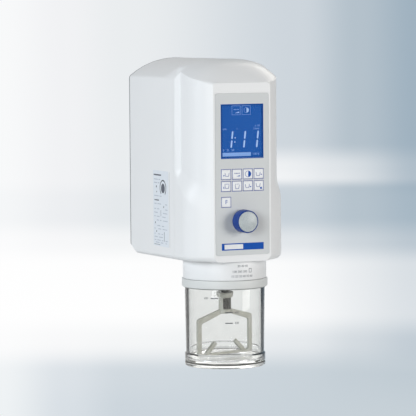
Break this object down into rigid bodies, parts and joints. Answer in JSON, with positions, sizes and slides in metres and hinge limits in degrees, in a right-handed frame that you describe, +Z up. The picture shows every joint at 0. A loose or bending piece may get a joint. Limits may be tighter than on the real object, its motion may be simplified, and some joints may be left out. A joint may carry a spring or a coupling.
{
  "type": "wall-hung vacuum mixing unit",
  "caption": "Wall-hung laboratory vacuum mixer with a moulded housing, keypad and knob, and a clear mixing bowl with a driven paddle docked beneath it.",
  "frame": {"origin": "centre of the back plate's wall face", "axes": "+Z up, +Y into the wall, -Y the front with the keypad, +X to the right of someone facing it"},
  "size_m": [0.1574, 0.2631, 0.4422],
  "materials": {
    "white_housing": "moulded, satin white",
    "grey_panel": "printed film, matt grey",
    "display_pane": "clear pane",
    "display": "blue backlit display",
    "key": "printed key",
    "blue_knob": "moulded blue",
    "grey_plastic": "moulded grey",
    "plate_steel": "powder coated grey",
    "cast_aluminium": "machined casting",
    "steel": "ground",
    "bronze": "sintered bronze",
    "rubber_black": "matt",
    "silicone": "translucent silicone",
    "nylon_gear": "natural nylon",
    "motor_case": "dark painted can",
    "black_plastic": "moulded black",
    "board": "solder-masked board",
    "transformer": "varnished core",
    "clear_bowl": "clear polycarbonate",
    "paddle": "moulded warm grey",
    "filter": "sintered filter"
  },
  "bodies": {
    "housing": {"front_housing": "white_housing", "rear_housing": "white_housing", "base_plate": "white_housing", "back_plate": "plate_steel", "keypad_panel": "grey_panel", "display_window": "display_pane", "lcd_module": "display", "control_board": "board", "encoder_body": "steel", "dock_flange": "cast_aluminium", "dock_seal": "rubber_black", "lower_bearing": "steel", "upper_bearing": "steel", "drive_bracket": "cast_aluminium", "motor_body": "motor_case", "pump_bracket": "plate_steel", "pump_motor": "motor_case", "pump_head": "black_plastic", "vent_valve": "black_plastic", "vacuum_hose": "silicone", "dock_hose": "silicone", "power_board": "board", "transformer": "transformer", "mains_inlet": "black_plastic", "switch_body": "black_plastic"},
    "key_1_cap": {"key_1": "key"},
    "key_2_cap": {"key_2": "key"},
    "key_3_cap": {"key_3": "key"},
    "key_4_cap": {"key_4": "key"},
    "key_5_cap": {"key_5": "key"},
    "key_6_cap": {"key_6": "key"},
    "key_7_cap": {"key_7": "key"},
    "key_8_cap": {"key_8": "key"},
    "key_f_cap": {"key_f": "key"},
    "knob": {"control_knob": "blue_knob", "knob_cap": "grey_plastic", "encoder_shaft": "steel"},
    "rocker": {"power_rocker": "black_plastic"},
    "drive": {"drive_shaft": "steel", "drive_gear": "nylon_gear", "drive_coupling": "steel"},
    "motor_rotor": {"motor_pinion": "steel"},
    "lid": {"mixing_lid": "white_housing", "lid_filter": "filter", "lid_bush": "bronze", "lid_seal": "silicone"},
    "paddle": {"paddle_shaft": "steel", "mixing_paddle": "paddle"},
    "bowl": {"bowl_collar": "grey_plastic", "mixing_bowl": "clear_bowl"}
  },
  "joints": [
    {"name": "key_1_press", "type": "slide", "parent": "housing", "child": "key_1_cap", "axis": [0, 1, 0], "range_m": [0, 0.0005], "stiffness_N_per_m": 2000},
    {"name": "key_2_press", "type": "slide", "parent": "housing", "child": "key_2_cap", "axis": [0, 1, 0], "range_m": [0, 0.0005], "stiffness_N_per_m": 2000},
    {"name": "key_3_press", "type": "slide", "parent": "housing", "child": "key_3_cap", "axis": [0, 1, 0], "range_m": [0, 0.0005], "stiffness_N_per_m": 2000},
    {"name": "key_4_press", "type": "slide", "parent": "housing", "child": "key_4_cap", "axis": [0, 1, 0], "range_m": [0, 0.0005], "stiffness_N_per_m": 2000},
    {"name": "key_5_press", "type": "slide", "parent": "housing", "child": "key_5_cap", "axis": [0, 1, 0], "range_m": [0, 0.0005], "stiffness_N_per_m": 2000},
    {"name": "key_6_press", "type": "slide", "parent": "housing", "child": "key_6_cap", "axis": [0, 1, 0], "range_m": [0, 0.0005], "stiffness_N_per_m": 2000},
    {"name": "key_7_press", "type": "slide", "parent": "housing", "child": "key_7_cap", "axis": [0, 1, 0], "range_m": [0, 0.0005], "stiffness_N_per_m": 2000},
    {"name": "key_8_press", "type": "slide", "parent": "housing", "child": "key_8_cap", "axis": [0, 1, 0], "range_m": [0, 0.0005], "stiffness_N_per_m": 2000},
    {"name": "key_f_press", "type": "slide", "parent": "housing", "child": "key_f_cap", "axis": [0, 1, 0], "range_m": [0, 0.0005], "stiffness_N_per_m": 2000},
    {"name": "knob_turn", "type": "hinge", "parent": "housing", "child": "knob", "pos_m": [0, -0.2435, -0.0799], "axis": [0, -1, 0], "continuous": true},
    {"name": "rocker_tilt", "type": "hinge", "parent": "housing", "child": "rocker", "pos_m": [0.076, -0.0485, -0.09], "axis": [0, 1, 0], "range_deg": [-16, 0]},
    {"name": "drive_spin", "type": "hinge", "parent": "housing", "child": "drive", "pos_m": [0, -0.1788, -0.136], "axis": [0, 0, 1], "continuous": true},
    {"name": "motor_spin", "type": "hinge", "parent": "housing", "child": "motor_rotor", "pos_m": [0, -0.1308, -0.136], "axis": [0, 0, 1], "continuous": true},
    {"name": "lid_undock", "type": "slide", "parent": "housing", "child": "lid", "axis": [0, 0, -1], "range_m": [0, 0.03]},
    {"name": "paddle_spin", "type": "hinge", "parent": "lid", "child": "paddle", "pos_m": [0, -0.1788, -0.136], "axis": [0, 0, 1], "continuous": true},
    {"name": "bowl_release", "type": "slide", "parent": "lid", "child": "bowl", "axis": [0, 0, -1], "range_m": [0, 0.125]}
  ],
  "couplings": [
    {"joint": "motor_spin", "follows": "drive_spin", "ratio": -3},
    {"joint": "paddle_spin", "follows": "drive_spin", "ratio": 1}
  ]
}
